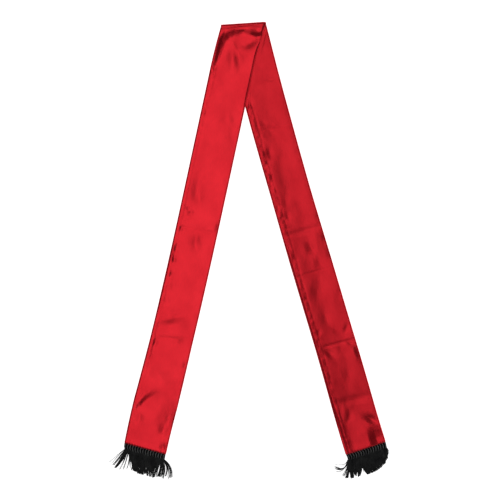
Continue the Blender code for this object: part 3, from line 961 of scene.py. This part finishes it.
cordForm = {
    "points": 15,
    "topCurl": (2.3, 0.4),  # how far its top leans to the side, and how much that varies
    "footCurl": (1.2, 0.6),
    "curlsMeet": 0.45,
    "above": 0.6,  # it begins under the hem
    "lowVaries": (-0.6, 0.8),  # how far below the heading it ends
    "arch": 0.35,
    "dip": (0.9, 0.12),  # its top dips under the hem by this much, over this share of its length
    "threads": 5,
    "thread": 0.38,  # radius of one of them
    "round": 0.62,  # and of the ring that they make
    "high": 1.85,
    "flat": 0.5,  # the ring is lower than it is wide by this share
    "twist": 3.4,  # in radians, over the heading
    "ply": 0.75,  # radius of the shiny ply on top, painted paler than the cord: its colour is a painted highlight line along the cord
    "plyHigh": 2.05,
    "plyEnds": 0.55,  # how thick it is at its ends, as a share
}


def headingCords(spec, place):  # each cord curves down the heading, its outer ply on top of the others; that ply's paler colour is a painted highlight along the cord
    cordLines, highlightPlyLines, count, form = [], [], fringeSizes["cords"], cordForm
    chance = random.Random(41 + spec["bend"])
    share = np.linspace(0, 1, form["points"])
    curls, meet, (dip, dipRun) = (form["topCurl"], form["footCurl"]), form["curlsMeet"], form["dip"]
    for cord in range(count):
        top, foot = (mean + chance.uniform(-vary, vary) for mean, vary in curls)
        low = fringeSizes["heading"] + chance.uniform(*form["lowVaries"])
        drop = -form["above"] + (low + form["above"]) * share
        curl = top * np.clip(1 - share / meet, 0, 1) ** 2
        curl = curl + foot * np.clip((share - meet) / (1 - meet), 0, 1) ** 2
        along = sideAt(spec, drop, (cord + 0.5) / count) + spec["bend"] * (curl - 1)
        arch = form["arch"] * np.sin(np.pi * share) - dip * np.clip(dipRun - share, 0, 1) / dipRun
        start = chance.uniform(0, math.tau)
        for thread in range(form["threads"]):
            turn = start + math.tau * thread / form["threads"] + form["twist"] * share
            sideways = along + form["round"] * np.cos(turn)
            high = form["high"] + arch + form["flat"] * form["round"] * np.sin(turn)
            cordLines.append((place(sideways, drop, high), np.full(len(share), form["thread"])))
        radii = form["ply"] * (form["plyEnds"] + (1 - form["plyEnds"]) * np.sin(np.pi * share) ** 0.5)
        highlightPlyLines.append((place(along, drop, form["plyHigh"] + arch), radii))
    return cordLines, highlightPlyLines


threadForm = {
    "steps": 9,
    "above": 2,  # the threads begin this far inside the heading
    "tuftShift": 0.6,  # of a tuft's tips to the side
    "tuftVaries": 1.0,  # how unevenly long the tufts are
    "midVaries": 1,
    "drawn": 0.75,  # how far a thread is drawn to the middle of its tuft
    "longer": 1.5,  # the longest threads, and how unevenly the others are shorter
    "uneven": 1.2,
    "tipVaries": 0.4,
    "bend": (0.15, 0.6),
    "bendWaves": (4, 8),
    "strays": 0.14,  # so many threads stray, by so much at most, and are so much thinner
    "strayWide": 3,
    "strayThin": 0.25,
    "low": (0.5, 2.1),  # the lowest thread's height, and how much higher the topmost one is
    "settle": 0.45,  # the higher ones come down by this share towards their tips
    "ripple": (0.15, 5),
    "thick": (0.7, 1.05),
    "taper": 0.35,
}


def through(first, middle, last, share):  # a curve through three values
    ends = first * (1 - share) * (1 - 2 * share) + last * share * (2 * share - 1)
    return ends + 4 * middle * share * (1 - share)


def looseThreads(spec, place):  # the threads of a lock end in small tufts
    lines, form = [], threadForm
    chance = random.Random(7 + spec["bend"])
    share = np.linspace(0, 1, form["steps"])
    top = fringeSizes["heading"] - form["above"]
    (low, rise), (ripple, rippleWaves) = form["low"], form["ripple"]
    for lock in spec["locks"]:
        tufts, shifts = lock.tufts, []
        for tuft in range(tufts):
            sideways = chance.uniform(-form["tuftShift"], form["tuftShift"])
            shifts.append((sideways, chance.gauss(0, form["tuftVaries"]) * (tufts > 1)))
        for thread in range(lock.threads):
            spot = (thread + 0.5) / lock.threads
            tuft = min(int(spot * tufts), tufts - 1)
            root = lock.start + (lock.end - lock.start) * spot
            mid = lock.midAlong + (spot - 0.5) * lock.midWide
            midDrop = lock.midDrop + chance.uniform(-form["midVaries"], form["midVaries"])
            drawn = form["drawn"] * ((tuft + 0.5) / tufts - spot) * lock.tipWide * (tufts > 1)
            drop = lock.tipDrop + form["longer"] - shifts[tuft][1] - abs(chance.gauss(0, form["uneven"]))
            drop += lock.lean * (spot - 0.5)
            tip = lock.tipAlong + (spot - 0.5) * lock.tipWide
            tip += chance.uniform(-form["tipVaries"], form["tipVaries"])
            along, down = through(root, mid, tip, share), through(top, midDrop, drop, share)
            phase, bend = chance.uniform(0, math.tau), chance.uniform(*form["bend"])
            along = along + bend * np.sin(phase + share * chance.uniform(*form["bendWaves"])) * share
            along = along + (drawn + shifts[tuft][0]) * share**5
            stray = chance.random() < form["strays"]
            along = along + stray * chance.uniform(-form["strayWide"], form["strayWide"]) * share**3
            level = chance.random() * (1 - form["settle"] * share**2)
            high = low + rise * level + ripple * np.sin(phase + rippleWaves * share)
            thick = lock.thick * chance.uniform(*form["thick"]) * (1 - form["strayThin"] * stray)
            lines.append((place(along, down, high), thick * (1 - form["taper"] * share**3)))
    return lines


def makeFringe(spec):
    place = hemPlace(spec["leg"])
    band = headingBand(spec, place)
    cordLines, highlightPlyLines = headingCords(spec, place)
    # the plies carry a paler colour, a painted highlight on the cords
    plies = threadMesh("plies_" + spec["name"], highlightPlyLines)
    cords = threadMesh("cords_" + spec["name"], cordLines)
    threads = threadMesh("threads_" + spec["name"], looseThreads(spec, place))
    return [band, cords, plies, threads]


hemStitches = {
    "pitch": 2.9,
    "inside": 1.9,  # from the hem
    "outside": 0.8,
    "thread": 0.3,
    "low": 2.9,  # where they end on the cords
    "start": 1.8,
    "free": 3,  # so much of the hem has none
    "points": 5,
    "slant": 0.5,
    "varies": 0.3,
    "lift": 0.15,  # they lie this much over the satin
    "dip": 0.5,  # and their first point goes into it
    "above": 50,
}


def stitchHem(spec, satin):  # small stitches across the hem, from the satin onto the cords
    place = hemPlace(spec["leg"])
    corners = [v.co for v in satin.data.vertices]
    cloth = BVHTree.FromPolygons(corners, [face.vertices for face in satin.data.polygons])
    chance = random.Random(19)
    pitch, count, varies, low = (hemStitches[name] for name in ("pitch", "points", "varies", "low"))
    lines = []
    for stitch in range(round((spec["sides"][1].right - hemStitches["free"]) / pitch)):
        along = hemStitches["start"] + (stitch + 0.5) * pitch + chance.uniform(-varies, varies)
        drop = np.linspace(-hemStitches["inside"], hemStitches["outside"], count)
        drop = drop + chance.uniform(-varies, varies)
        points = place(along + np.linspace(0, hemStitches["slant"], count), drop, low)
        for point in points:
            above = Vector((point[0], point[1], hemStitches["above"])) * mm
            hit = cloth.ray_cast(above, Vector((0, 0, -1)))[0]
            point[2] = max(low, hit.z / mm + hemStitches["lift"]) if hit else low
        points[0, 2] -= hemStitches["dip"]
        lines.append((points, np.full(count, hemStitches["thread"])))
    return threadMesh("stitches_" + spec["name"], lines)


blackColours = (0.35, 0.35, 0.4), (1.65, 1.7, 1.65)  # of the darkest and the palest patches
redColours = (0.5, 0.02, 0.03), (0.9, 0.07, 0.09)
ThreadLook = namedtuple("ThreadLook", "colours pale roughness specular patchScale contrast")

threadLooks = {  # the colours are taken times how pale the thread is
    "black_cord": ThreadLook(blackColours, 0.009, 0.65, 0.12, 320.0, 2.2),
    # the ply's paler colour is a painted highlight: it stands in for the light caught along each cord's
    # top, added to its real shine
    "black_ply": ThreadLook(blackColours, 0.13, 0.36, 1.0, 320.0, 2.2),
    "black_thread": ThreadLook(blackColours, 0.022, 0.6, 0.25, 320.0, 2.2),
    "red_thread": ThreadLook(redColours, 1, 0.45, 0.5, 500.0, 0),
}
threadPatches = 75.0  # scale of the broad ones
threadUneven = 0.2  # of the roughness


def threadPaint(name):
    look, paint = threadLooks[name], Paint(name)
    place = paint.place()
    patches = paint.noise(place, look.patchScale)
    tone = (paint.noise(place, threadPatches, 3.0) - 0.5) * look.contrast + patches
    darkest, palest = (tuple(look.pale * value for value in colour) for colour in look.colours)
    paint.set(
        Base_Color=paint.mix(tone, darkest, palest),
        Roughness=look.roughness + threadUneven * (patches - 0.5),
        Specular_IOR_Level=look.specular,
    )
    return paint.data


studio = {
    "cameraHigh": 5.0,
    "lens": 180.0,
    "framed": 1.0,  # metres that the picture shows
    "centre": (2.5, 1.2),  # middle of the picture, in mm, before the scarf is moved to the frame
    "panel": (-0.24, 0.25, 3.0),  # place of the big soft light
    "panelSize": (1.12, 2.7),
    "panelWatts": 14.9,
    "paper": 0.9,  # its colour and roughness
    "paperSize": 15,
    "paperDrop": 0.0003,
    "room": (  # how bright it is at each height that one looks at
        (0.0, 0.8),  # level and below, where the cloth would mirror a white table
        (0.12, 0.46),
        (0.45, 0.46),
        (0.7, 0.04),
        (1.0, 0.04),
    ),
    "cool": 1.02,
    "sideways": 0.35,  # it is this much brighter on the right, and as much dimmer on the left
}


def softPanel():  # it shines straight down
    light = bpy.data.lights.new("panel", "AREA")
    light.shape = "RECTANGLE"
    light.size, light.size_y = studio["panelSize"]
    light.energy = studio["panelWatts"]
    lamp = putInScene("panel", light)
    lamp.location = studio["panel"]
    lamp.visible_camera = False


def roomLight():
    room = Paint("room", "worlds", "Background")
    right, _, high = room.split(room.place("Generated"))
    stops = [(place, (bright, bright, bright * studio["cool"], 1)) for place, bright in studio["room"]]
    sky = room.node("ShaderNodeValToRGB", {"stops": stops}, {0: high})
    room.set(Color=sky, Strength=right * studio["sideways"] + 1.0)
    return room.data


def makeStudio(shift):
    scene = bpy.context.scene
    scene.view_settings.view_transform = "Standard"
    bm = bmesh.new()
    bmesh.ops.create_grid(bm, x_segments=1, y_segments=1, size=studio["paperSize"])
    bmesh.ops.translate(bm, verts=bm.verts, vec=(0, 0, -studio["paperDrop"]))
    floor = finishMesh(bm, "floor")
    paint = Paint("paper")
    grey = studio["paper"]
    paint.set(Base_Color=(grey, grey, grey, 1), Roughness=grey)
    paint.set(Emission_Color=(1, 1, 1, 1), Emission_Strength=1.0)
    floor.data.materials.append(paint.data)
    floor.visible_glossy = False
    softPanel()
    scene.world = roomLight()
    camera = putInScene("camera", bpy.data.cameras.new("camera"))
    camera.data.lens = studio["lens"]
    camera.data.sensor_width = studio["lens"] * studio["framed"] / studio["cameraHigh"]
    x, y = studio["centre"]
    camera.location = (x * mm + shift.x, y * mm + shift.y, studio["cameraHigh"])
    scene.camera = camera


print("satin")
satin = satinPieces()
print("fringe")
fringes = {spec["name"]: makeFringe(spec) for spec in (leftFringe, rightFringe)}
print("stitches")
stitches = stitchHem(rightFringe, satin[0]), stitchHem(leftFringe, satin[1])
print("paint")
paints = {name: threadPaint(name) for name in threadLooks}
for piece, part in zip(satin, ("lower", "upper")):
    piece.data.materials.append(satinPaint(part))
# the ply pieces take black_ply, whose paler colour is a painted highlight on the cords
for pieces in fringes.values():
    for piece, part in zip(pieces, ("cord", "cord", "ply", "thread")):
        piece.data.materials.append(paints["black_" + part])
for piece in stitches:
    piece.data.materials.append(paints["red_thread"])
print("settle")
shift = settleOnFrame([*satin, *stitches, *fringes["left"], *fringes["right"]], satin)
print("moved by", [round(value / mm, 2) for value in shift])

for piece, node in zip(satin + stitches, ("lower_leg", "upper_leg") * 2):
    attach(piece, "root")
    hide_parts(node)
for name, pieces in fringes.items():
    for piece in pieces:
        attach(piece, "root")
        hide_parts("fringe_" + name)
besideLower, besideUpper = [stitches[0], *fringes["right"]], [stitches[1], *fringes["left"]]
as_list(besideLower)
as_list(besideUpper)

print("studio")
makeStudio(shift)
